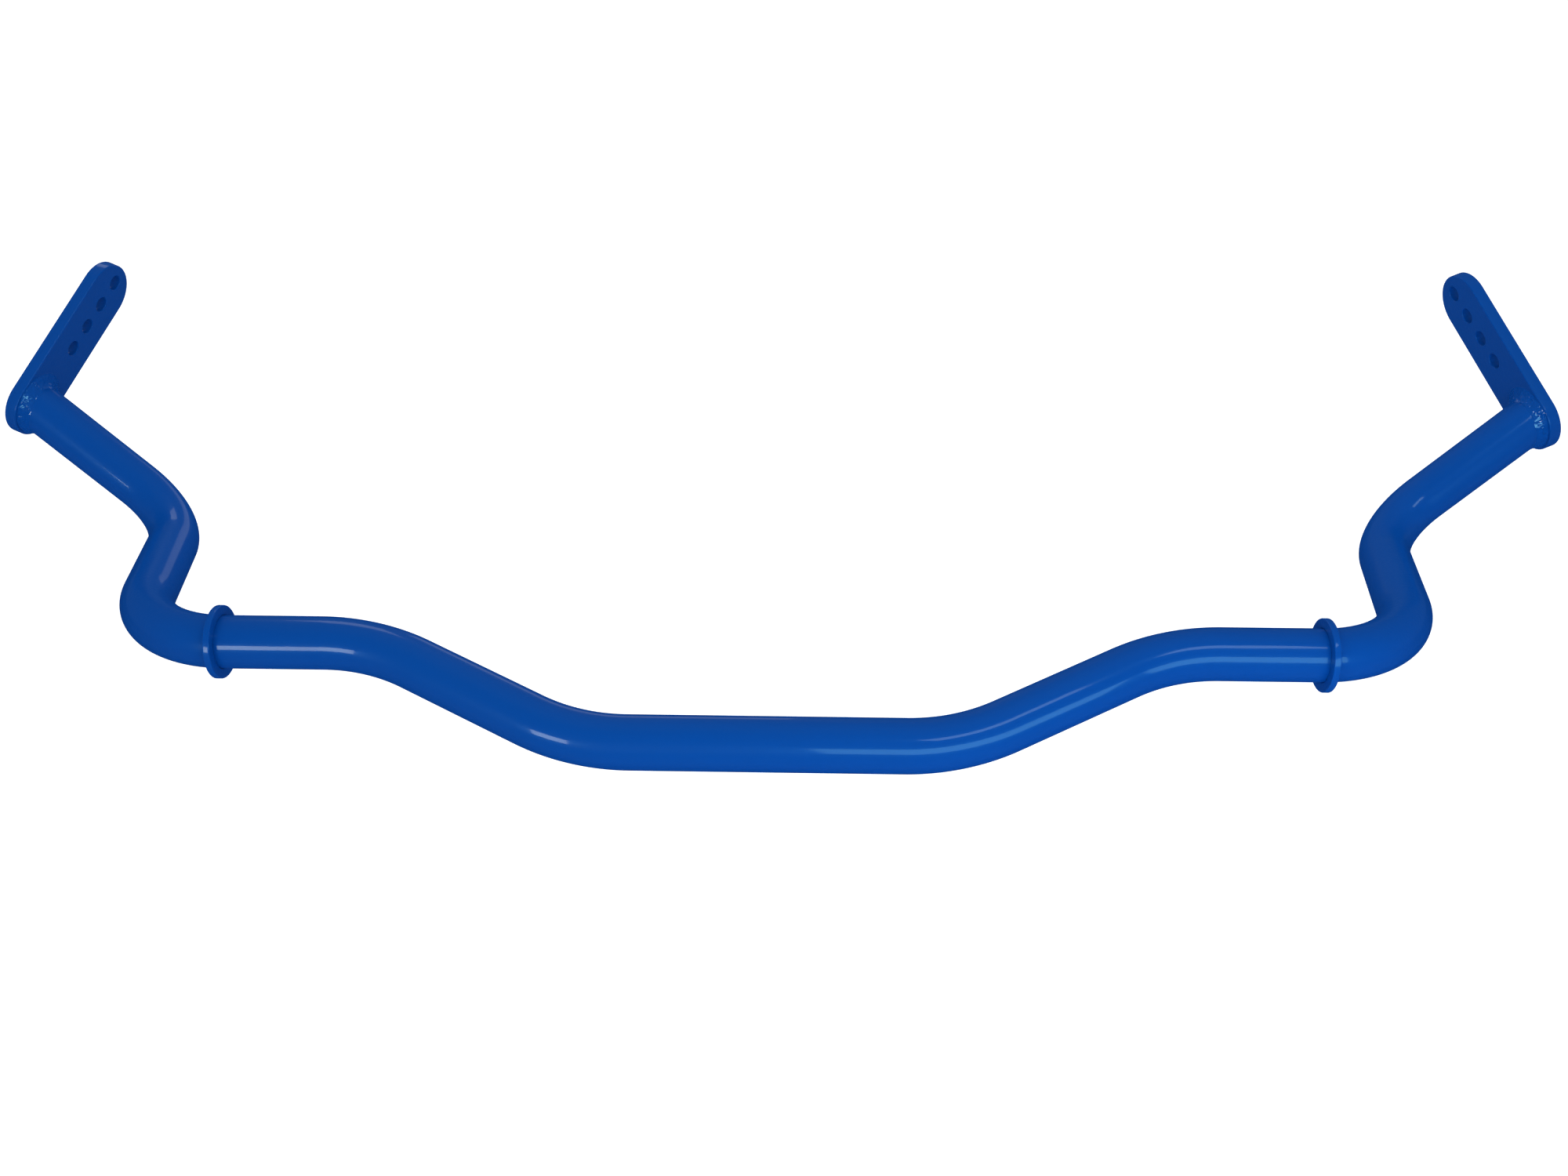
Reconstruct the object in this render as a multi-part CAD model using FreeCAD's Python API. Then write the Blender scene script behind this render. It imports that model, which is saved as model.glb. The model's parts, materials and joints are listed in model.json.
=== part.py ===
import FreeCAD, Part
import math
import os

# Front sway bar (anti-roll bar): one bent steel tube, a drilled end plate welded to
# each end for the drop link, and a locating ring welded outboard of each bush seat.
# Millimetres, +Z up. X runs across the car and Y from the dropped centre section back
# to the plates. The bar lies as on a bench, on its centre section and its two knees.
# Sizes are given for the right-hand side, x > 0; the left-hand side is its mirror.

Vector = FreeCAD.Vector

# Tube
tube_od = 32.0
tube_wall = 4.5

# Corners of the tube's axis, measured from the twist axis: the common axis of the two
# straight bush seats, with x = 0 at mid-span.
centre_corner_x = 109.5
centre_forward = 62.0        # centre section lies this far in front of the twist axis
centre_drop = 18.5           # and this far below it
seat_inner_x = 236.0         # corner where the straight seat section starts
seat_outer_x = 384.0         # corner where the tube turns back
knee_x, knee_y, knee_z = 412.5, 157.5, -23.5
arm_end_x, arm_end_y, arm_end_z = 505.0, 187.5, 50.0   # where the axis meets the plate

# Bend radii of the tube's axis
centre_bend_radius = 128.0   # both bends of the S
corner_bend_radius = 70.0
knee_bend_radius = 52.5

# End plate: a flat bar with full-round ends. Its inner face closes the tube's end.
plate_thickness = 8.0
plate_margin = 5.5           # from the tube's side to the plate's long edge
plate_centres = 92.5         # between the centres of the two round ends
plate_toe = 15.5             # degrees the outer face turns back, seen from above
plate_lean = 16.0            # degrees the outer face leans up
plate_rise = 32.5            # degrees the plate climbs above the horizontal in its plane
plate_edge_round = 0.8
hole_diameter = 10.5         # clearance for an M10 link stud
hole_pitch = 18.5
hole_count = 4
tip_margin = 11.5            # from the plate's tip to the centre of the first hole
weld_leg_on_plate = 3.5
weld_leg_on_tube = 6.0

# Locating ring, where the straight bush seat ends and the corner bend starts
ring_height = 6.0            # how far the ring stands out from the tube
ring_width = 4.0
ring_past_seat = 2.5         # from the end of the seat to the middle of the ring
ring_edge_round = 0.5
ring_slip = 0.25             # radial gap that lets the ring slide on before it is welded
ring_weld_leg = 1.5

tube_radius = tube_od / 2
bore_radius = tube_radius - tube_wall
plate_width = tube_od + 2 * plate_margin
ring_radius = tube_radius + ring_height
x_axis = Vector(1, 0, 0)
origin = Vector(0, 0, 0)


def unit(vector):
    """The vector's direction, with length 1."""
    return Vector(vector).normalize()


def bend(before, corner, after, radius):
    """Start, middle and end points and centre of the arc that rounds a corner."""
    back = unit(before - corner)
    ahead = unit(after - corner)
    half_angle = back.getAngle(ahead) / 2
    reach = radius / math.tan(half_angle)
    bisector = unit(back + ahead)
    centre = corner + bisector * (radius / math.sin(half_angle))
    middle = centre - bisector * radius
    return corner + back * reach, middle, corner + ahead * reach, centre


def half_route():
    """Corners of the axis from mid-span to the right-hand plate, and their bend radii."""
    corners = [
        Vector(0, -centre_forward, -centre_drop),
        Vector(centre_corner_x, -centre_forward, -centre_drop),
        Vector(seat_inner_x, 0, 0),
        Vector(seat_outer_x, 0, 0),
        Vector(knee_x, knee_y, knee_z),
        Vector(arm_end_x, arm_end_y, arm_end_z),
    ]
    radii = [centre_bend_radius, centre_bend_radius, corner_bend_radius, knee_bend_radius]
    return corners, radii


def plate_axes():
    """Outward normal of the plate, its direction along its length, and across it."""
    toe, lean, rise = (math.radians(a) for a in (plate_toe, plate_lean, plate_rise))
    normal = Vector(math.cos(lean) * math.cos(toe), math.cos(lean) * math.sin(toe), math.sin(lean))
    level = Vector(-math.sin(toe), math.cos(toe), 0)
    along = level * math.cos(rise) + normal.cross(level) * math.sin(rise)
    return normal, along, normal.cross(along)


def rod(radius):
    """The right half of the axis as a solid of a radius, running on past the plate."""
    corners, radii = half_route()
    arm = unit(corners[-1] - corners[-2])
    corners[-1] = corners[-1] + arm * plate_width
    start = corners[0]
    pieces = []
    for i, bend_radius in enumerate(radii, 1):
        first, middle, last, centre = bend(corners[i - 1], corners[i], corners[i + 1], bend_radius)
        run = first - start
        pieces.append(Part.makeCylinder(radius, run.Length, start, run))
        turn_axis = (first - centre).cross(last - centre)
        angle = math.degrees((first - centre).getAngle(last - centre))
        disc = Part.Face(Part.Wire(Part.makeCircle(radius, first, run)))
        pieces.append(disc.revolve(centre, turn_axis, angle))
        start = last
    run = corners[-1] - start
    pieces.append(Part.makeCylinder(radius, run.Length, start, run))
    return pieces[0].fuse(pieces[1:]).removeSplitter()


def beyond_plate(offset=0.0):
    """A block holding everything on the outer side of the plate's inner face."""
    normal, along, across = plate_axes()
    size = 6 * plate_width
    seat = Vector(arm_end_x, arm_end_y, arm_end_z) + normal * offset
    corner = seat - along * (size / 2) - across * (size / 2)
    wire = Part.makePolygon([
        corner,
        corner + along * size,
        corner + along * size + across * size,
        corner + across * size,
        corner,
    ])
    return Part.Face(wire).extrude(normal * size)


def mirrored(shape):
    """The left-hand copy of a right-hand shape."""
    return shape.mirror(origin, x_axis)


def bar_tube():
    """The whole bent tube, bored through, its ends cut to the plates' inner faces."""
    half = rod(tube_radius).cut(rod(bore_radius)).cut(beyond_plate())
    return half.fuse(mirrored(half)).removeSplitter()


def end_plate():
    """Flat bar with round ends and a row of link holes running in from its tip."""
    normal, along, across = plate_axes()
    foot = Vector(arm_end_x, arm_end_y, arm_end_z)
    tip = foot + along * plate_centres
    radius = plate_width / 2
    edges = [
        Part.Arc(foot + across * radius, foot - along * radius, foot - across * radius).toShape(),
        Part.makeLine(foot - across * radius, tip - across * radius),
        Part.Arc(tip - across * radius, tip + along * radius, tip + across * radius).toShape(),
        Part.makeLine(tip + across * radius, foot + across * radius),
    ]
    plate = Part.Face(Part.Wire(edges)).extrude(normal * plate_thickness)
    rims = [edge for edge in plate.Edges if not is_corner(edge, normal)]
    plate = plate.makeFillet(plate_edge_round, rims)
    for seat in hole_seats():
        plate = plate.cut(Part.makeCylinder(hole_diameter / 2, plate_thickness, seat, normal))
    return plate


def is_corner(edge, normal):
    """True for a straight edge that runs through the plate's thickness."""
    run = edge.lastVertex().Point - edge.firstVertex().Point
    return run.Length > 0 and abs(unit(run).dot(normal)) > 0.99


def hole_seats():
    """Where each link hole's axis meets the plate's inner face, from the tip inwards."""
    normal, along, across = plate_axes()
    tip_end = Vector(arm_end_x, arm_end_y, arm_end_z) + along * (plate_centres + plate_width / 2)
    return [tip_end - along * (tip_margin + hole_pitch * i) for i in range(hole_count)]


def end_weld():
    """Fillet weld round the tube's end: an oblique collar that thins away from the plate."""
    normal, along, across = plate_axes()
    corners, radii = half_route()
    arm = unit(corners[-1] - corners[-2])
    slant = arm.dot(normal)
    long_way = unit(arm - normal * slant)
    toe_at = corners[-1] - arm * (weld_leg_on_tube / slant)
    rings = []
    for centre, leg in ((corners[-1], weld_leg_on_plate), (toe_at, 0.0)):
        major = tube_radius / slant + leg
        minor = tube_radius + leg
        ellipse = Part.Ellipse(centre + long_way * major, centre + normal.cross(long_way) * minor, centre)
        rings.append(Part.Wire(ellipse.toShape()))
    collar = Part.makeLoft(rings, True, True)
    start = corners[-1] - arm * plate_width
    core = Part.makeCylinder(tube_radius, 2 * plate_width, start, arm)
    return collar.cut(core)


def ring_middle():
    """Distance of the ring's middle from mid-span, set by where the seat ends."""
    corners, radii = half_route()
    seat_end = bend(corners[2], corners[3], corners[4], corner_bend_radius)[0]
    return seat_end.x + ring_past_seat


def locating_ring():
    """Flat steel ring on the tube, its two outer edges rounded."""
    start = Vector(ring_middle() - ring_width / 2, 0, 0)
    ring = Part.makeCylinder(ring_radius, ring_width, start, x_axis)
    rims = [edge for edge in ring.Edges if isinstance(edge.Curve, Part.Circle)]
    ring = ring.makeFillet(ring_edge_round, rims)
    return ring.cut(Part.makeCylinder(tube_radius + ring_slip, ring_width, start, x_axis))


def ring_weld():
    """Small fillet weld between the ring's outboard face and the tube."""
    start = Vector(ring_middle() + ring_width / 2, 0, 0)
    root = tube_radius + ring_slip
    cone = Part.makeCone(root + ring_weld_leg, root, ring_weld_leg, start, x_axis)
    return cone.cut(Part.makeCylinder(root, ring_weld_leg, start, x_axis))


shapes = {"bar_tube": bar_tube()}
for name, make in (
    ("end_plate", end_plate),
    ("end_weld", end_weld),
    ("locating_ring", locating_ring),
    ("ring_weld", ring_weld),
):
    shapes["right_" + name] = make()
    shapes["left_" + name] = mirrored(shapes["right_" + name])

# The origin is under the middle of the whole bar's box, on the bench.
whole = Part.makeCompound(list(shapes.values())).optimalBoundingBox(False, False)
to_bench = Vector(0, -(whole.YMin + whole.YMax) / 2, -whole.ZMin)

os.makedirs("parts", exist_ok=True)
for name, shape in shapes.items():
    shape.translate(to_bench)
    shape.exportStep("parts/" + name + ".step")
    print(name, "solids", len(shape.Solids), "valid", shape.isValid(), "volume", round(shape.Volume, 1))

size = (whole.XLength, whole.YLength, whole.ZLength)
print("overall size", [round(s, 2) for s in size])
print("twist axis at y, z", round(to_bench.y, 3), round(to_bench.z, 3))
for i, seat in enumerate(hole_seats(), 1):
    print("right hole", i, [round(c, 3) for c in seat + to_bench])
print("ring middle at x", round(ring_middle(), 3))
print("plate normal", [round(c, 5) for c in plate_axes()[0]])
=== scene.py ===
import json
import math

import bmesh
import bpy
import numpy as np
from mathutils import Matrix, Vector

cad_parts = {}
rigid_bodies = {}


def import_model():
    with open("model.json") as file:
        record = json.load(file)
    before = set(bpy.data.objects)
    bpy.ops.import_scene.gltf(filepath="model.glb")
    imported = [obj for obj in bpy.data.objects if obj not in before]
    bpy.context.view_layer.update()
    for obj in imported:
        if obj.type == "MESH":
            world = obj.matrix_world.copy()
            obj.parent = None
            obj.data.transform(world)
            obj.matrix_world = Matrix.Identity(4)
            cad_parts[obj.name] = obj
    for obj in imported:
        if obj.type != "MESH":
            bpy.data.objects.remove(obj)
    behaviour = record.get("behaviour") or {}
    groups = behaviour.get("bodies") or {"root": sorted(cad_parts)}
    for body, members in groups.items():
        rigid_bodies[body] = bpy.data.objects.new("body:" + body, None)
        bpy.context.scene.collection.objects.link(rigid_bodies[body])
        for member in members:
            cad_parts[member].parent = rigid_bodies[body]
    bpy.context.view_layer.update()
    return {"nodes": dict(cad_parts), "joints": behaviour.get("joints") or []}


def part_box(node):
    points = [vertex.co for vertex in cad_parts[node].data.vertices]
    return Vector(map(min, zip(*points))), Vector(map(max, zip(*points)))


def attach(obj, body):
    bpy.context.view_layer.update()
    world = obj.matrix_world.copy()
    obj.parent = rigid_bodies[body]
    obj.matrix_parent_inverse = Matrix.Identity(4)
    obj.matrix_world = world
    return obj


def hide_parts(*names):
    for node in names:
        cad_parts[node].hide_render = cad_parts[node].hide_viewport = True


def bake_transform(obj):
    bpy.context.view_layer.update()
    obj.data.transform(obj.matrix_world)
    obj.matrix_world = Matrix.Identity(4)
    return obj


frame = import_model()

print("frame loaded:", len(frame["nodes"]), "nodes")

# The bar is worked out from the twist axis, the common axis of its two bush seats.
twist = frame["joints"][0]
twistPoint = np.array(twist["pos_m"])
leftBody, rightBody = twist["parent"], twist["child"]


def unit(v):
    # every row divided by its own length
    v = np.asarray(v, float)
    return v / np.linalg.norm(v, axis=-1, keepdims=True)


def turn(v, axis, angle):
    # Rodrigues' formula: v turned about a unit axis by each angle of an array
    c, s = np.cos(angle)[..., None], np.sin(angle)[..., None]
    along = (v @ axis)[..., None] * axis
    return v * c + np.cross(axis, v) * s + along * (1 - c)


# large primes that scramble a lattice point and a seed into one number
latticePrimes = (73856093, 19349663, 83492791)
seedPrime, stirPrime = 2654435761, 1274126177


def smoothNoise(points, size, seed):
    # Value noise from -1 to 1: random numbers on a cubic lattice, blended by smoothstep between the
    # lattice's points.
    q = points / size
    cell = np.floor(q).astype(np.int64)
    f = q - cell
    f = f * f * (3 - 2 * f)
    total = np.zeros(points.shape[:-1])
    for corner in np.ndindex(2, 2, 2):
        k = cell + np.array(corner)
        x, y, z = (k[..., i] * prime for i, prime in enumerate(latticePrimes))
        h = x ^ y ^ z ^ (seed * seedPrime)
        h = (h ^ (h >> 13)) * stirPrime & 0x7FFFFFFF
        h = (h ^ (h >> 16)) & 0xFFFF
        weight = np.prod(np.where(np.array(corner) == 1, f, 1 - f), axis=-1)
        total += weight * (h / 32767.5 - 1)
    return total


def gridFaces(rows, columns, wrapRows=False, wrapColumns=False):
    # quads between neighbouring rows and columns of a grid, joined end to end where it wraps
    r = np.arange(rows if wrapRows else rows - 1)
    c = np.arange(columns if wrapColumns else columns - 1)
    r, c = np.meshgrid(r, c, indexing="ij")
    r2, c2 = (r + 1) % rows, (c + 1) % columns
    quads = np.stack([r * columns + c, r * columns + c2, r2 * columns + c2, r2 * columns + c], -1)
    return quads.reshape(-1, 4)


def outward(points, faces):
    # The enclosed volume is the sum of the tetrahedra from the origin to each face; below zero means
    # inside out.
    a, b, c = points[faces[:, 0]], points[faces[:, 1]], points[faces[:, 2]]
    volume = np.einsum("ij,ij->", a, np.cross(b, c))
    if faces.shape[1] == 4:
        d = points[faces[:, 3]]
        volume += np.einsum("ij,ij->", a, np.cross(c, d))
    return faces if volume > 0 else faces[:, ::-1]


def makeMesh(name, points, quads, triangles=None, smooth=True):
    mesh = bpy.data.meshes.new(name)
    faces = quads.tolist() + (triangles.tolist() if triangles is not None else [])
    mesh.from_pydata(points.tolist(), [], faces)
    mesh.polygons.foreach_set("use_smooth", [smooth] * len(mesh.polygons))
    mesh.update()
    piece = bpy.data.objects.new(name, mesh)
    bpy.context.scene.collection.objects.link(piece)
    return piece


def mirrorX(points):
    return points * np.array([-1.0, 1.0, 1.0])


barTube = {
    "radius": 0.016,
    "corners": [                      # the right half of the axis, from the twist axis at mid-span
        (0.0, -0.062, -0.0185),
        (0.1095, -0.062, -0.0185),
        (0.236, 0.0, 0.0),
        (0.384, 0.0, 0.0),
        (0.4125, 0.1575, -0.0235),
        (0.505, 0.1875, 0.050),
    ],
    "bendRadii": [0.128, 0.128, 0.070, 0.0525],
    "around": 96,
    "step": 0.0022,                   # between rings of the mesh
    "flattening": 0.010,              # share of the radius that is lost in the plane of a bend
    "endBite": 0.0003,                # the tube's end reaches this far into the plate
    "endRings": 30,                   # so many last rings may slide back to meet the plate
}

endPlate = {
    "thickness": 0.008,
    "width": 0.043,
    "centres": 0.0925,
    "toe": 15.5,
    "lean": 16.0,
    "rise": 32.5,
    "rim": 0.0009,                    # radius that the coat leaves on every edge
    "rimSteps": 6,
    "hole": 0.0105,
    "holeRim": 0.0007,
    "pitch": 0.0185,
    "holes": 4,
    "tipMargin": 0.0115,
    "arcSteps": 56,
    "holeSteps": 56,
}


def plateAxes():
    # outward normal, direction along the plate, and across it, from the toe, lean and rise angles
    toe, lean, rise = (math.radians(endPlate[k]) for k in ("toe", "lean", "rise"))
    normal = np.array([math.cos(lean) * math.cos(toe), math.cos(lean) * math.sin(toe), math.sin(lean)])
    level = np.array([-math.sin(toe), math.cos(toe), 0.0])
    along = level * math.cos(rise) + np.cross(normal, level) * math.sin(rise)
    return normal, along, np.cross(normal, along)


def halfAxis(tube):
    # Straight runs joined by tangent arcs. A frame is carried along without twist: it is constant on a
    # run and turns with the tangent on an arc. Returns points, tangents, normals and bend strengths.
    corners = np.array(tube["corners"])
    points, tangents, normals, bends = [], [], [], []
    start, normal = corners[0], np.array([0.0, 0.0, 1.0])
    for i, radius in enumerate(tube["bendRadii"], 1):
        ahead, after = unit(corners[i] - corners[i - 1]), unit(corners[i + 1] - corners[i])
        angle = math.acos(float(ahead @ after))
        reach = radius * math.tan(angle / 2)
        enter = corners[i] - ahead * reach
        steps = max(2, int(np.linalg.norm(enter - start) / tube["step"]))
        t = np.linspace(0, 1, steps, endpoint=False)[:, None]
        points.append(start + (enter - start) * t)
        tangents.append(np.tile(ahead, (steps, 1)))
        normals.append(np.tile(normal, (steps, 1)))
        bends.append(np.zeros((steps, 3)))
        axis = unit(np.cross(ahead, after))
        inward = np.cross(axis, ahead)
        centre = enter + inward * radius
        steps = max(6, int(radius * angle / tube["step"]))
        theta = np.linspace(0, angle, steps, endpoint=False)
        points.append(centre + turn(np.tile(-inward * radius, (steps, 1)), axis, theta))
        tangents.append(turn(np.tile(ahead, (steps, 1)), axis, theta))
        normals.append(turn(np.tile(normal, (steps, 1)), axis, theta))
        ease = np.sin(np.pi * theta / angle) ** 0.5
        bends.append(turn(np.tile(inward, (steps, 1)), axis, theta) * ease[:, None])
        normal = turn(normal[None], axis, np.array([angle]))[0]
        start = centre + turn((-inward * radius)[None], axis, np.array([angle]))[0]
    ahead = unit(corners[-1] - start)
    steps = int(np.linalg.norm(corners[-1] - start) / tube["step"])
    t = np.linspace(0, 1, steps + 1)[:, None]
    points.append(start + (corners[-1] - start) * t)
    tangents.append(np.tile(ahead, (steps + 1, 1)))
    normals.append(np.tile(normal, (steps + 1, 1)))
    bends.append(np.zeros((steps + 1, 3)))
    return [np.concatenate(a) for a in (points, tangents, normals, bends)]


def makeTube(tube):
    # A circle carried along the axis: point = axis + radius * (cos of the angle * normal + sin * side),
    # slightly flattened in the plane of each bend. The last rings slide along the tube's own
    # straight lines until they meet the plate's inner face.
    axis, tangent, normal, bend = halfAxis(tube)
    side = np.cross(tangent, normal)
    phi = np.linspace(0, 2 * np.pi, tube["around"], endpoint=False)
    spoke = np.cos(phi)[None, :, None] * normal[:, None] + np.sin(phi)[None, :, None] * side[:, None]
    towards = np.einsum("ijk,ik->ij", spoke, bend)
    ring = tube["radius"] * spoke * (1 - tube["flattening"] * towards[..., None] ** 2)
    half = axis[:, None] + ring
    plateNormal = plateAxes()[0]
    end = np.array(tube["corners"][-1]) + plateNormal * tube["endBite"]
    beyond = (half - end) @ plateNormal
    slide = beyond / (tangent @ plateNormal)[:, None]
    nearEnd = np.arange(len(axis)) > len(axis) - tube["endRings"]
    pull = np.where(nearEnd[:, None] & (slide > 0), slide, 0)
    half = half - tangent[:, None] * pull[..., None]
    beyond = (half[-1] - end) @ plateNormal / (tangent[-1] @ plateNormal)
    half[-1] = half[-1] - tangent[-1] * beyond[:, None]
    # the left half is the mirror image, run backwards so that the two share the ring at mid-span
    whole = np.concatenate([mirrorX(half[:0:-1]), half]) + twistPoint
    rows, columns = whole.shape[:2]
    points = whole.reshape(-1, 3)
    quads = gridFaces(rows, columns, wrapColumns=True)
    caps = np.stack([whole[0].mean(0), whole[-1].mean(0)])
    points = np.concatenate([points, caps])
    c = np.arange(columns)
    first = np.stack([np.full(columns, len(points) - 2), (c + 1) % columns, c], -1)
    final = np.stack([np.full(columns, len(points) - 1), c, (c + 1) % columns], -1)
    final[:, 1:] += (rows - 1) * columns
    triangles = np.concatenate([first, final])
    flipped = outward(points, quads)
    if not np.array_equal(flipped, quads):
        quads, triangles = flipped, triangles[:, ::-1]
    piece = makeMesh("bentTube", points, quads, triangles)
    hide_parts("bar_tube")
    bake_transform(piece)
    return piece


def rimStrip(outline, outwardDirection, normal, thickness, radius, steps):
    # A quarter round, the edge's flat, and a quarter round, carried round a closed outline that lies on
    # the plate's inner face: each profile point is inset from the outline and raised by a height.
    a = np.linspace(0, np.pi / 2, steps + 1)
    inset = np.concatenate([radius * (1 - np.sin(a)), radius * (1 - np.cos(a))])
    height = np.concatenate([radius * (1 - np.cos(a)), thickness - radius * (1 - np.sin(a))])
    return (
        outline[:, None]
        - outwardDirection[:, None] * inset[None, :, None]
        + normal * height[None, :, None]
    )


def makePlate(name, plate, mirrored):
    # The outline is a stadium: two half circles joined by straight sides. Rims are grids round the
    # outline and round each hole; the two flat faces are filled between the rims' first and last rings.
    normal, along, across = plateAxes()
    foot = np.array(barTube["corners"][-1]) + twistPoint
    tip = foot + along * plate["centres"]
    radius = plate["width"] / 2
    a = np.linspace(0, np.pi, plate["arcSteps"] + 1)[:, None]
    footRound = np.cos(a) * across - np.sin(a) * along
    tipRound = -footRound
    directions = np.concatenate([footRound, tipRound])
    outline = np.concatenate([foot + footRound * radius, tip + tipRound * radius])
    strips = [rimStrip(outline, directions, normal, plate["thickness"], plate["rim"], plate["rimSteps"])]
    tipEnd = tip + along * radius
    b = np.linspace(0, 2 * np.pi, plate["holeSteps"], endpoint=False)[:, None]
    spoke = np.cos(b) * along + np.sin(b) * across
    for i in range(plate["holes"]):
        centre = tipEnd - along * (plate["tipMargin"] + plate["pitch"] * i)
        hole = centre + spoke * plate["hole"] / 2
        strips.append(rimStrip(hole, -spoke, normal, plate["thickness"],
                               plate["holeRim"], plate["rimSteps"]))
    bm = bmesh.new()
    lowEdges, highEdges = [], []
    for strip in strips:
        rows, columns = strip.shape[:2]
        points = mirrorX(strip) if mirrored else strip
        verts = [bm.verts.new(p) for p in points.reshape(-1, 3)]
        for quad in gridFaces(rows, columns, wrapRows=True):
            face = bm.faces.new([verts[k] for k in quad])
            face.smooth = True
        for r in range(rows):
            nextRow = (r + 1) % rows
            lowEdges.append(bm.edges.get((verts[r * columns], verts[nextRow * columns])))
            last, nextLast = (r + 1) * columns - 1, (nextRow + 1) * columns - 1
            highEdges.append(bm.edges.get((verts[last], verts[nextLast])))
    for edges in (lowEdges, highEdges):
        filled = bmesh.ops.triangle_fill(bm, use_beauty=True, use_dissolve=False, edges=edges)
        for item in filled["geom"]:
            if isinstance(item, bmesh.types.BMFace):
                item.smooth = False
    bmesh.ops.recalc_face_normals(bm, faces=bm.faces)
    mesh = bpy.data.meshes.new(name)
    bm.to_mesh(mesh)
    bm.free()
    piece = bpy.data.objects.new(name, mesh)
    bpy.context.scene.collection.objects.link(piece)
    return piece


plateWeld = {
    "plateLeg": 0.0036,               # as far as the plate's round foot has room for
    "upperLeg": 0.0034,               # more where the plate runs on past the tube
    "tubeLeg": 0.0064,
    "fullness": 2.5,                  # 1 bulges, 2 is flat, above 2 is hollow and runs out smoothly
    "around": 720,
    "across": 44,
    "ripples": 31,
    "rippleHeight": 0.00016,
    "crestShape": 0.7,
    "crestLevel": 0.6,                # the part of a ripple that lies below the bead's own surface
    "crescent": 1.3,                  # how far a ripple's ends lag behind its middle
    "wobble": (0.6, 2.1, 0.4),        # of the ripples' spacing: amount, stretch, patch size
    "wander": 0.12,                   # how unevenly the two legs run
    "wanderStretch": 1.3,
    "wanderPatches": (0.55, 0.5),     # patch size for the leg on the plate and the leg on the tube
    "lumpSize": 0.0034,
    "lumpHeight": 0.00034,
    "lumpLift": 0.4,
    "fineLump": (0.5, 0.4),           # height and size of the finer lumps, as shares of the lumps'
    "fadeShape": 1.2,                 # how soon ripples and lumps die away towards the toes
    "beads": 46,                      # drops that froze on the weld
    "beadSize": (0.00030, 0.00085),
    "beadRise": 0.55,                 # a drop's height, as a share of its size
    "root": 0.0004,                   # the hidden side lies this deep in the steel
}

ringWeld = {
    "leg": 0.0015,
    "around": 220,
    "across": 8,
    "ripples": 60,
    "rippleHeight": 0.00007,
    "crestLevel": 0.6,
    "lumpSize": 0.0014,
    "lumpHeight": 0.00010,
    "fullness": 1.3,                  # 1 is a quarter round, 2 is flat
    "root": 0.0004,                   # the hidden side lies this deep in the tube
    "ringRoot": 0.0002,               # and this deep in the ring
}


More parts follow.
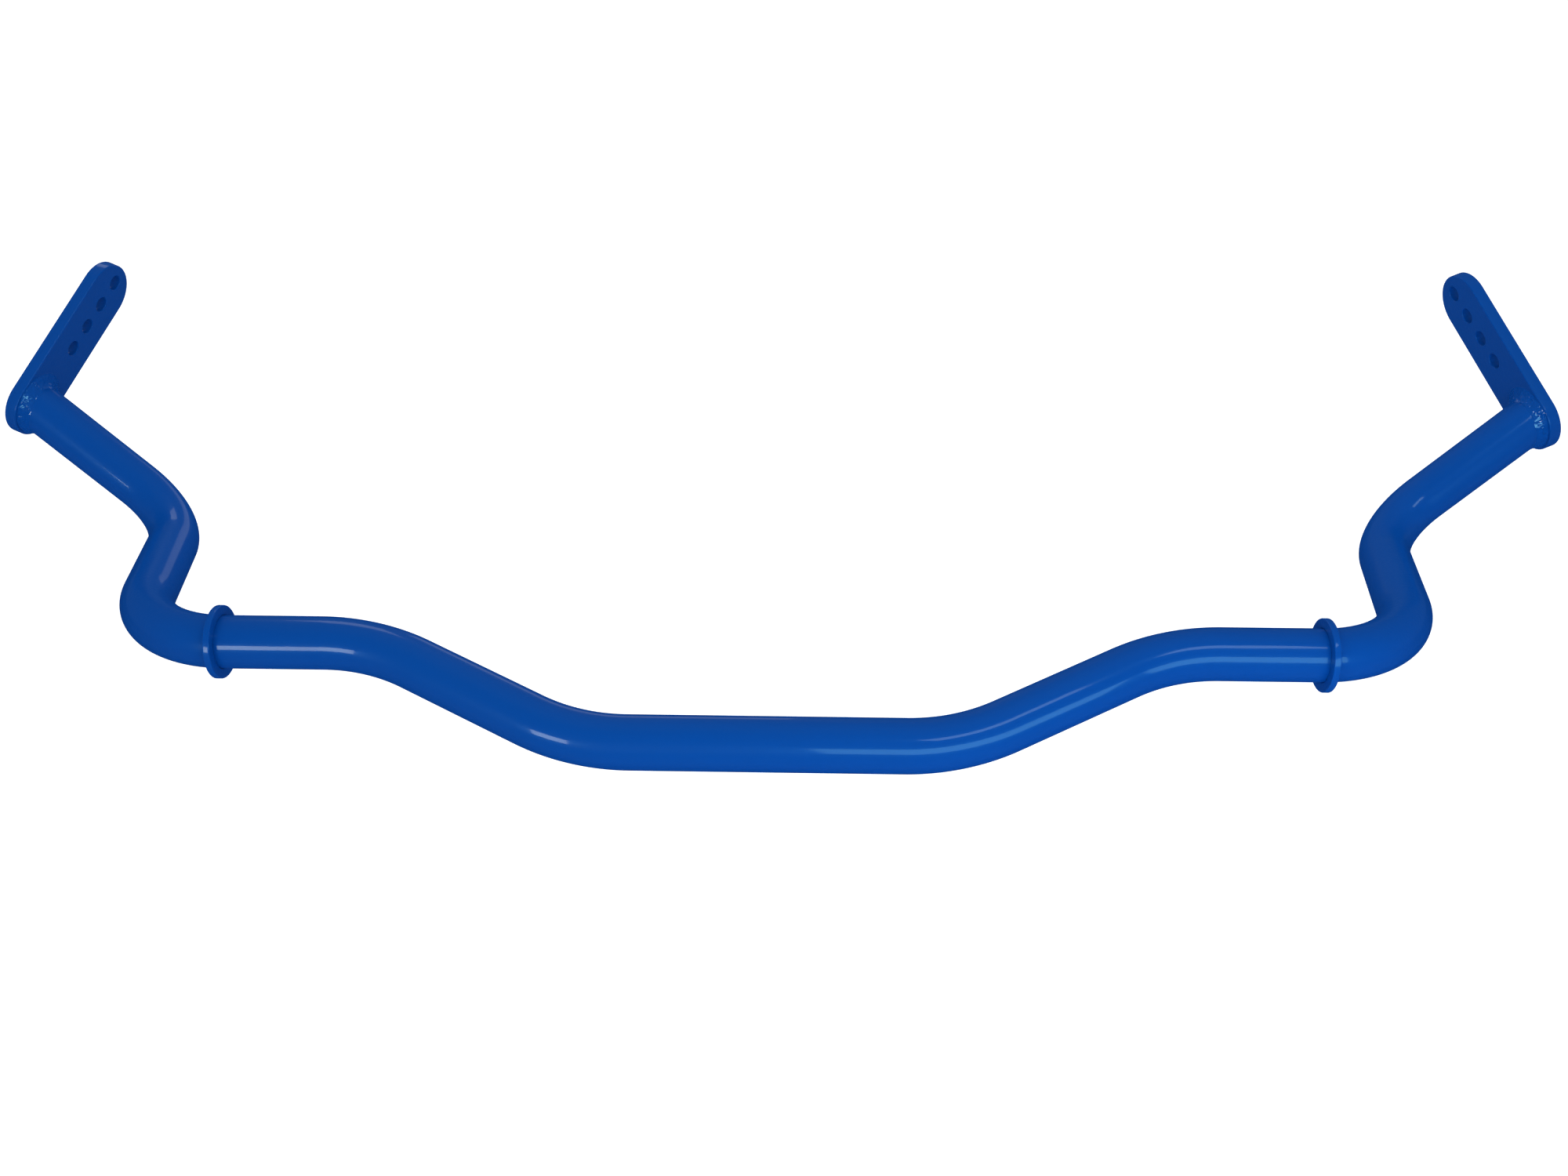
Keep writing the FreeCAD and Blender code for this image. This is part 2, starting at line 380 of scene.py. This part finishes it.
def makePlateWeld(name, weld, mirrored, seed):
    # The junction of tube and plate is an ellipse. At each angle round it the bead's section runs from a
    # toe on the plate to a toe on the tube: leg * cos^p along the plate plus leg * sin^p along the tube.
    # Ripples are shallow crescents, one after another, value noise adds lumps and uneven legs, and each
    # frozen drop is a round cap, height * (1 - distance^2 / size^2).
    normal, along, across = plateAxes()
    corners = np.array(barTube["corners"])
    arm = unit(corners[-1] - corners[-2])
    centre = corners[-1] + twistPoint
    u = unit(np.cross(arm, across))
    v = np.cross(arm, u)
    phi = np.linspace(0, 2 * np.pi, weld["around"], endpoint=False)
    spoke = np.cos(phi)[:, None] * u + np.sin(phi)[:, None] * v
    radius = barTube["radius"]
    slide = -radius * (spoke @ normal) / (arm @ normal)
    junction = centre + spoke * radius + arm * slide[:, None]
    outwardOnPlate = unit(spoke - (spoke @ normal)[:, None] * normal)
    upper = np.clip(outwardOnPlate @ along, 0, 1) ** 2
    s = np.linspace(0, 1, weld["across"])
    circle = np.stack([np.cos(phi), np.sin(phi), np.full_like(phi, seed)], -1)
    stretched = circle * weld["wanderStretch"]
    widePatch, tallPatch = weld["wanderPatches"]
    wide = 1 + weld["wander"] * smoothNoise(stretched + seed, widePatch, seed)
    tall = 1 + weld["wander"] * smoothNoise(stretched - seed, tallPatch, seed + 7)
    p = weld["fullness"]
    plateLeg = (weld["plateLeg"] + weld["upperLeg"] * upper) * wide
    onPlate = plateLeg[:, None] * np.cos(s * np.pi / 2)[None] ** p
    onTube = weld["tubeLeg"] * tall[:, None] * np.sin(s * np.pi / 2)[None] ** p
    bead = junction[:, None] + outwardOnPlate[:, None] * onPlate[..., None] - arm * onTube[..., None]
    lift = unit(outwardOnPlate - arm)[:, None] * np.ones((1, len(s), 1))
    amount, stretch, patch = weld["wobble"]
    wobble = amount * smoothNoise(circle * stretch, patch, seed + 3)
    curve = weld["crescent"] * (s[None] - 0.5) ** 2
    phase = weld["ripples"] * phi[:, None] / (2 * np.pi) + curve + wobble[:, None]
    crest = np.abs(np.sin(np.pi * phase)) ** weld["crestShape"]
    fade = np.sin(np.pi * s)[None] ** weld["fadeShape"]
    height = weld["rippleHeight"] * (crest - weld["crestLevel"]) * fade
    lumps = smoothNoise(bead, weld["lumpSize"], seed + 11) + weld["lumpLift"]
    height = height + weld["lumpHeight"] * lumps * fade
    fineHeight, fineSize = weld["fineLump"]
    fineLumps = smoothNoise(bead, weld["lumpSize"] * fineSize, seed + 17)
    height = height + weld["lumpHeight"] * fineHeight * fineLumps * fade
    rng = np.random.default_rng(seed)
    flat = bead.reshape(-1, 3)
    for pick in rng.integers(0, len(flat), weld["beads"]):
        size = rng.uniform(*weld["beadSize"])
        near = ((bead - flat[pick]) ** 2).sum(-1) / size ** 2
        height = height + weld["beadRise"] * size * np.clip(1 - near, 0, 1) * fade ** 0.5
    bead = bead + lift * height[..., None]
    hidden = junction - outwardOnPlate * weld["root"] + normal * weld["root"]
    plateToe = bead[:, :1] + normal * weld["root"]
    tubeToe = bead[:, -1:] - spoke[:, None] * weld["root"]
    section = np.concatenate([plateToe, bead, tubeToe, hidden[:, None]], axis=1)
    if mirrored:
        section = mirrorX(section)
    rows, columns = section.shape[:2]
    points = section.reshape(-1, 3)
    quads = outward(points, gridFaces(rows, columns, wrapRows=True, wrapColumns=True))
    return makeMesh(name, points, quads)


def lathe(name, profile, centreX, around, mirrored, push=None):
    # A closed profile of (distance along X, radius) turned about the twist axis; push adds to the radius.
    phi = np.linspace(0, 2 * np.pi, around, endpoint=False)
    radius = np.tile(profile[:, 1], (around, 1))
    if push is not None:
        radius = radius + push(phi)
    x = np.tile(profile[:, 0], (around, 1)) + centreX
    points = np.stack([x, radius * np.cos(phi)[:, None], radius * np.sin(phi)[:, None]], -1)
    points = points + twistPoint * np.array([0, 1, 1])
    if mirrored:
        points = mirrorX(points)
    rows, columns = points.shape[:2]
    flat = points.reshape(-1, 3)
    quads = outward(flat, gridFaces(rows, columns, wrapRows=True, wrapColumns=True))
    return makeMesh(name, flat, quads)


locatingRing = {
    "outside": 0.022,
    "bore": 0.01625,
    "width": 0.004,
    "rim": 0.0006,
    "rimSteps": 5,
    "edgeLoop": 0.0002,               # an extra loop this near each corner keeps the faces' shading flat
    "around": 160,
}


def ringProfile(ring):
    # a rectangle with rounded outer corners and two plain inner ones, as a closed run of points
    h, r = ring["width"] / 2, ring["rim"]
    a = np.linspace(0, np.pi / 2, ring["rimSteps"] + 1)
    firstCorner = np.stack([-h + r * (1 - np.sin(a)), ring["outside"] - r * (1 - np.cos(a))], -1)[::-1]
    lastCorner = np.stack([h - r * (1 - np.sin(a)), ring["outside"] - r * (1 - np.cos(a))], -1)
    near = ring["edgeLoop"]
    inner = np.array([
        (h, ring["outside"] - r - near),
        (h, ring["bore"] + near),
        (h, ring["bore"]),
        (-h, ring["bore"]),
        (-h, ring["bore"] + near),
        (-h, ring["outside"] - r - near),
    ])
    return np.concatenate([firstCorner, lastCorner, inner])


def makeRingWeld(name, weld, ring, mirrored, centreX, seed):
    # A bead between the ring's outboard face and the tube, rippled round its length: its section runs as
    # leg * sin^p along the tube and leg * cos^p up the ring.
    a = np.linspace(0, np.pi / 2, weld["across"])
    p = weld["fullness"]
    bead = np.stack([weld["leg"] * np.sin(a) ** p, weld["leg"] * np.cos(a) ** p], -1)
    low, back = -weld["root"], -weld["ringRoot"]
    base = np.array([(weld["leg"], low), (back, low), (back, weld["leg"])])
    profile = np.concatenate([bead, base]) + np.array([ring["width"] / 2, barTube["radius"]])
    fade = np.concatenate([np.sin(2 * a) ** 0.5, np.zeros(3)])

    def push(phi):
        circle = np.stack([np.cos(phi), np.sin(phi), np.full_like(phi, 0.3)], -1) * profile[0, 1]
        lumps = smoothNoise(circle, weld["lumpSize"], seed)
        ripple = np.abs(np.sin(weld["ripples"] * phi / 2)) - weld["crestLevel"]
        return (weld["rippleHeight"] * ripple + weld["lumpHeight"] * lumps)[:, None] * fade[None]

    return lathe(name, profile, centreX, weld["around"], mirrored, push)


paint = {
    "blue": (0.0003, 0.0690, 0.3620, 1.0),
    "deepBlue": (0.0003, 0.0560, 0.3000, 1.0),
    "specular": 0.25,
    "specularTint": (0.35, 0.80, 1.0, 1.0),
}

peelLook = {
    "fineDetail": 2.0,
    "fineRoughness": 0.55,
    "waveScale": 65.0,
    "waveDetail": 1.0,
    "nibScale": 95.0,
    "nibRadius": 0.055,
    "nibRarity": 0.86,                # only cells whose random number is above this hold a nib
}

filmLook = {
    "cloudDetail": 4.0,
    "smearScale": 55.0,
    "smearDetail": 5.0,
}


def newGroup(name, inputs, outputs):
    group = bpy.data.node_groups.new(name, "ShaderNodeTree")
    for label, kind, value in inputs:
        socket = group.interface.new_socket(name=label, in_out="INPUT", socket_type=kind)
        socket.default_value = value
    for label, kind in outputs:
        group.interface.new_socket(name=label, in_out="OUTPUT", socket_type=kind)
    return group, group.nodes.new("NodeGroupInput"), group.nodes.new("NodeGroupOutput")


def addNode(tree, kind, place, **settings):
    node = tree.nodes.new(kind)
    node.location = place
    for key, value in settings.items():
        setattr(node, key, value)
    return node


def mathNode(tree, operation, place, a, b=None):
    node = addNode(tree, "ShaderNodeMath", place, operation=operation)
    for index, value in enumerate((a, b)):
        if value is None:
            continue
        if isinstance(value, (int, float)):
            node.inputs[index].default_value = value
        else:
            tree.links.new(value, node.inputs[index])
    return node.outputs[0]


def orangePeelGroup():
    # Height of a sprayed and baked coat: wide soft waves, fine peel, and a few dust nibs.
    group, start, end = newGroup(
        "orangePeel",
        [
            ("Peel Size", "NodeSocketFloat", 420.0),
            ("Peel Height", "NodeSocketFloat", 0.5),
            ("Wave Height", "NodeSocketFloat", 0.5),
            ("Nib Height", "NodeSocketFloat", 0.5),
        ],
        [("Height", "NodeSocketFloat")],
    )
    where = addNode(group, "ShaderNodeTexCoord", (-900, 0))
    fine = addNode(group, "ShaderNodeTexNoise", (-600, 200))
    fine.inputs["Detail"].default_value = peelLook["fineDetail"]
    fine.inputs["Roughness"].default_value = peelLook["fineRoughness"]
    wide = addNode(group, "ShaderNodeTexNoise", (-600, -50))
    wide.inputs["Scale"].default_value = peelLook["waveScale"]
    wide.inputs["Detail"].default_value = peelLook["waveDetail"]
    nibs = addNode(group, "ShaderNodeTexVoronoi", (-600, -300))
    nibs.inputs["Scale"].default_value = peelLook["nibScale"]
    nibs.inputs["Randomness"].default_value = 1.0
    link = group.links.new
    for texture in (fine, wide, nibs):
        link(where.outputs["Object"], texture.inputs["Vector"])
    link(start.outputs["Peel Size"], fine.inputs["Scale"])
    distance = nibs.outputs["Distance"]
    nearNib = mathNode(group, "LESS_THAN", (-400, -300), distance, peelLook["nibRadius"])
    pick = addNode(group, "ShaderNodeSeparateColor", (-400, -480))
    link(nibs.outputs["Color"], pick.inputs[0])
    rare = mathNode(group, "GREATER_THAN", (-200, -480), pick.outputs[0], peelLook["nibRarity"])
    nibMask = mathNode(group, "MULTIPLY", (-50, -350), nearNib, rare)
    peel = mathNode(group, "MULTIPLY", (-300, 200), fine.outputs[0], start.outputs["Peel Height"])
    waves = mathNode(group, "MULTIPLY", (-300, 0), wide.outputs[0], start.outputs["Wave Height"])
    bumps = mathNode(group, "MULTIPLY", (50, -250), nibMask, start.outputs["Nib Height"])
    total = mathNode(group, "ADD", (0, 100), peel, waves)
    total = mathNode(group, "ADD", (200, 50), total, bumps)
    link(total, end.inputs["Height"])
    return group


def coatFilmGroup():
    # Colour of the coat: soft clouds mix in a deeper blue, and finer smears vary the roughness a little.
    group, start, end = newGroup(
        "coatFilm",
        [
            ("Colour", "NodeSocketColor", paint["blue"]),
            ("Deep Colour", "NodeSocketColor", paint["deepBlue"]),
            ("Cloud Size", "NodeSocketFloat", 14.0),
            ("Cloud Amount", "NodeSocketFloat", 0.25),
            ("Base Roughness", "NodeSocketFloat", 0.3),
            ("Roughness Spread", "NodeSocketFloat", 0.08),
        ],
        [("Colour", "NodeSocketColor"), ("Roughness", "NodeSocketFloat")],
    )
    where = addNode(group, "ShaderNodeTexCoord", (-900, 0))
    cloud = addNode(group, "ShaderNodeTexNoise", (-700, 0))
    cloud.inputs["Detail"].default_value = filmLook["cloudDetail"]
    smear = addNode(group, "ShaderNodeTexNoise", (-700, -300))
    smear.inputs["Scale"].default_value = filmLook["smearScale"]
    smear.inputs["Detail"].default_value = filmLook["smearDetail"]
    link = group.links.new
    link(where.outputs["Object"], cloud.inputs["Vector"])
    link(where.outputs["Object"], smear.inputs["Vector"])
    link(start.outputs["Cloud Size"], cloud.inputs["Scale"])
    amount = mathNode(group, "MULTIPLY", (-450, 50), cloud.outputs[0], start.outputs["Cloud Amount"])
    mix = addNode(group, "ShaderNodeMix", (-200, 100), data_type="RGBA")
    link(amount, mix.inputs[0])
    link(start.outputs["Colour"], mix.inputs[6])
    link(start.outputs["Deep Colour"], mix.inputs[7])
    link(mix.outputs[2], end.inputs["Colour"])
    spread = mathNode(group, "SUBTRACT", (-450, -300), smear.outputs[0], 0.5)
    spread = mathNode(group, "MULTIPLY", (-300, -300), spread, start.outputs["Roughness Spread"])
    rough = mathNode(group, "ADD", (-150, -300), spread, start.outputs["Base Roughness"])
    link(rough, end.inputs["Roughness"])
    return group


peelGroup = orangePeelGroup()
filmGroup = coatFilmGroup()


def powderCoat(name, peelSize=420.0, peelHeight=0.5, waveHeight=0.5, roughness=0.3, cloud=0.25,
               bumpDistance=0.00012, coat=0.7, coatRoughness=0.07, coatIor=1.45):
    material = bpy.data.materials.new(name)
    material.use_nodes = True
    tree = material.node_tree
    shader = tree.nodes["Principled BSDF"]
    shader.location = (500, 0)
    film = addNode(tree, "ShaderNodeGroup", (-100, 100), node_tree=filmGroup)
    film.inputs["Cloud Amount"].default_value = cloud
    film.inputs["Base Roughness"].default_value = roughness
    peel = addNode(tree, "ShaderNodeGroup", (-100, -250), node_tree=peelGroup)
    peel.inputs["Peel Size"].default_value = peelSize
    peel.inputs["Peel Height"].default_value = peelHeight
    peel.inputs["Wave Height"].default_value = waveHeight
    bump = addNode(tree, "ShaderNodeBump", (250, -250))
    bump.inputs["Strength"].default_value = 1.0
    bump.inputs["Distance"].default_value = bumpDistance
    tree.links.new(film.outputs["Colour"], shader.inputs["Base Color"])
    tree.links.new(film.outputs["Roughness"], shader.inputs["Roughness"])
    tree.links.new(peel.outputs["Height"], bump.inputs["Height"])
    tree.links.new(bump.outputs["Normal"], shader.inputs["Normal"])
    shader.inputs["Specular IOR Level"].default_value = paint["specular"]
    shader.inputs["Specular Tint"].default_value = paint["specularTint"]
    shader.inputs["Coat Weight"].default_value = coat
    shader.inputs["Coat Roughness"].default_value = coatRoughness
    shader.inputs["Coat IOR"].default_value = coatIor
    return material


coats = {
    "tube": powderCoat("tubeCoat"),
    "plate": powderCoat("plateCoat", peelHeight=0.6, waveHeight=0.7, roughness=0.34, cloud=0.8),
    "weld": powderCoat("weldCoat", peelSize=330.0, roughness=0.22, bumpDistance=0.0009,
                       coat=1.0, coatRoughness=0.03, coatIor=1.8),
    "ring": powderCoat("ringCoat", peelHeight=0.7),
}
print("coats ready:", len(coats))


# the middles of the two locating rings, the seats that the real bar twists between; the right one's X
# places both rings
leftSeat, rightSeat = (
    0.5 * (np.array(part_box(n)[0]) + np.array(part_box(n)[1]))
    for n in ("left_locating_ring", "right_locating_ring")
)
ringX = float(rightSeat[0])

tubePiece = makeTube(barTube)
tubePiece.data.materials.append(coats["tube"])
print("tube:", len(tubePiece.data.polygons), "faces")

for sideName, body, mirrored, seed in (("left", leftBody, True, 5), ("right", rightBody, False, 23)):
    plate = makePlate(sideName + "EndPlate", endPlate, mirrored)
    plate.data.materials.append(coats["plate"])
    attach(plate, body)
    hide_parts(sideName + "_end_plate")
    bead = makePlateWeld(sideName + "EndWeld", plateWeld, mirrored, seed)
    bead.data.materials.append(coats["weld"])
    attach(bead, body)
    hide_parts(sideName + "_end_weld")
    ring = lathe(sideName + "LocatingRing", ringProfile(locatingRing), ringX,
                 locatingRing["around"], mirrored)
    ring.data.materials.append(coats["ring"])
    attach(ring, body)
    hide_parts(sideName + "_locating_ring")
    tack = makeRingWeld(sideName + "RingWeld", ringWeld, locatingRing, mirrored, ringX, seed + 40)
    tack.data.materials.append(coats["weld"])
    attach(tack, body)
    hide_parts(sideName + "_ring_weld")
    print(sideName, "end ready")


studio = {
    "floorSize": 30.0,
    "floorDrop": 0.050,               # below the bar, so that a knee swinging down stays clear of it
    "floorColour": (0.88, 0.88, 0.89, 1.0),
    "floorRoughness": 0.9,
    "floorSpecular": 0.1,
    "floorGlow": 0.64,                # lifts the floor to white where the camera sees it
    "floorInGloss": (0.006, 0.050, 0.240, 1.0),     # the floor's colour in the coat's reflections
    "sky": (0.97, 0.98, 1.0, 1.0),
    "skyLight": 0.45,
    "skySeen": 1.0,
    "skyInGloss": (0.025, 0.080, 0.240, 1.0),
}

camera = {
    "place": (0.02248, -0.74072, 0.57779),
    "forward": (-0.01681, 0.78890, -0.61429),
    "up": (-0.01175, 0.61417, 0.78908),
    "lens": 32.4,
    "sensor": 36.0,
    "clip": (0.01, 100.0),
}

lamps = [
    # name, place, aim, length, width, power, tint, seen in reflections
    ("leftSoftbox", (-0.72, -1.02, 0.275), (-0.27, -0.10, 0.035), 0.27, 0.28, 1.5, (0.85, 0.97, 1.0), True),
    ("rightSoftbox", (0.30, -0.52, 0.165), (0.18, -0.12, 0.03), 0.56, 0.16, 0.90, (0.30, 0.82, 1.0), True),
    ("rightStrip", (0.56, -0.63, 1.36), (0.20, -0.12, 0.03), 0.64, 0.24, 1.60, (0.60, 0.88, 1.0), True),
    ("rearSoftbox", (-0.62, 1.20, 0.95), (0.0, 0.0, 0.05), 0.40, 0.40, 0.55, (0.9, 0.97, 1.0), True),
    ("rearLow", (-0.14, 0.93, 0.17), (-0.40, 0.0, 0.02), 0.30, 0.25, 0.10, (0.9, 0.97, 1.0), True),
    ("frontFill", (0.0, -2.3, 0.75), (0.0, 0.0, 0.05), 3.0, 1.2, 10.0, (0.92, 0.98, 1.0), False),
    ("rearFill", (0.0, 2.3, 0.75), (0.0, 0.0, 0.05), 3.0, 1.2, 9.0, (0.92, 0.98, 1.0), False),
    ("topFill", (0.0, 0.6, 1.9), (0.0, 0.05, 0.0), 2.2, 1.6, 9.5, (0.92, 0.98, 1.0), False),
]


def makeFloor():
    half = studio["floorSize"] / 2
    low = -studio["floorDrop"]
    points = np.array([(-half, -half, low), (half, -half, low), (half, half, low), (-half, half, low)])
    floor = makeMesh("floor", points, np.array([[0, 1, 2, 3]]), smooth=False)
    material = bpy.data.materials.new("paleFloor")
    material.use_nodes = True
    tree = material.node_tree
    shader = tree.nodes["Principled BSDF"]
    shader.inputs["Base Color"].default_value = studio["floorColour"]
    shader.inputs["Roughness"].default_value = studio["floorRoughness"]
    shader.inputs["Specular IOR Level"].default_value = studio["floorSpecular"]
    dim = addNode(tree, "ShaderNodeBsdfDiffuse", (0, -300))
    dim.inputs["Color"].default_value = studio["floorInGloss"]
    path = addNode(tree, "ShaderNodeLightPath", (-300, 300))
    shader.inputs["Emission Color"].default_value = (1.0, 1.0, 1.0, 1.0)
    glow = mathNode(tree, "MULTIPLY", (-100, 300), path.outputs["Is Camera Ray"], studio["floorGlow"])
    tree.links.new(glow, shader.inputs["Emission Strength"])
    mix = addNode(tree, "ShaderNodeMixShader", (400, 0))
    tree.links.new(path.outputs["Is Glossy Ray"], mix.inputs[0])
    tree.links.new(shader.outputs[0], mix.inputs[1])
    tree.links.new(dim.outputs[0], mix.inputs[2])
    tree.links.new(mix.outputs[0], tree.nodes["Material Output"].inputs["Surface"])
    floor.data.materials.append(material)


def makeWorld():
    # the sky is white behind the floor, gives a soft light, and is a dim blue in the coat's reflections
    world = bpy.data.worlds.new("studioSky")
    bpy.context.scene.world = world
    world.use_nodes = True
    tree = world.node_tree
    path = addNode(tree, "ShaderNodeLightPath", (-700, 200))
    plain = addNode(tree, "ShaderNodeMix", (-450, 200), data_type="RGBA")
    plain.inputs[6].default_value = [c * studio["skyLight"] for c in studio["sky"][:3]] + [1.0]
    plain.inputs[7].default_value = [c * studio["skySeen"] for c in studio["sky"][:3]] + [1.0]
    tree.links.new(path.outputs["Is Camera Ray"], plain.inputs[0])
    mixed = addNode(tree, "ShaderNodeMix", (-200, 200), data_type="RGBA")
    mixed.inputs[7].default_value = studio["skyInGloss"]
    tree.links.new(path.outputs["Is Glossy Ray"], mixed.inputs[0])
    tree.links.new(plain.outputs[2], mixed.inputs[6])
    tree.links.new(mixed.outputs[2], tree.nodes["Background"].inputs["Color"])


def makeLamp(name, place, aim, length, width, power, tint, reflected):
    data = bpy.data.lights.new(name, "AREA")
    data.shape = "RECTANGLE"
    data.size, data.size_y = length, width
    data.energy, data.color = power, tint
    lamp = bpy.data.objects.new(name, data)
    bpy.context.scene.collection.objects.link(lamp)
    lamp.location = place
    lamp.rotation_mode = "QUATERNION"
    lamp.rotation_quaternion = (Vector(aim) - Vector(place)).to_track_quat("-Z", "Y")
    lamp.visible_camera = False
    lamp.visible_glossy = reflected


def makeCamera():
    data = bpy.data.cameras.new("camera")
    data.lens, data.sensor_width = camera["lens"], camera["sensor"]
    data.clip_start, data.clip_end = camera["clip"]
    view = bpy.data.objects.new("camera", data)
    bpy.context.scene.collection.objects.link(view)
    back, up = -Vector(camera["forward"]).normalized(), Vector(camera["up"])
    right = up.cross(back).normalized()
    up = back.cross(right)
    turnTo = Matrix((right, up, back)).transposed()
    view.matrix_world = Matrix.Translation(Vector(camera["place"])) @ turnTo.to_4x4()
    bpy.context.scene.camera = view


makeFloor()
makeWorld()
for lamp in lamps:
    makeLamp(*lamp)
makeCamera()
bpy.context.scene.view_settings.view_transform = "Standard"   # keeps the coat's blue as deep as it is
print("studio ready")
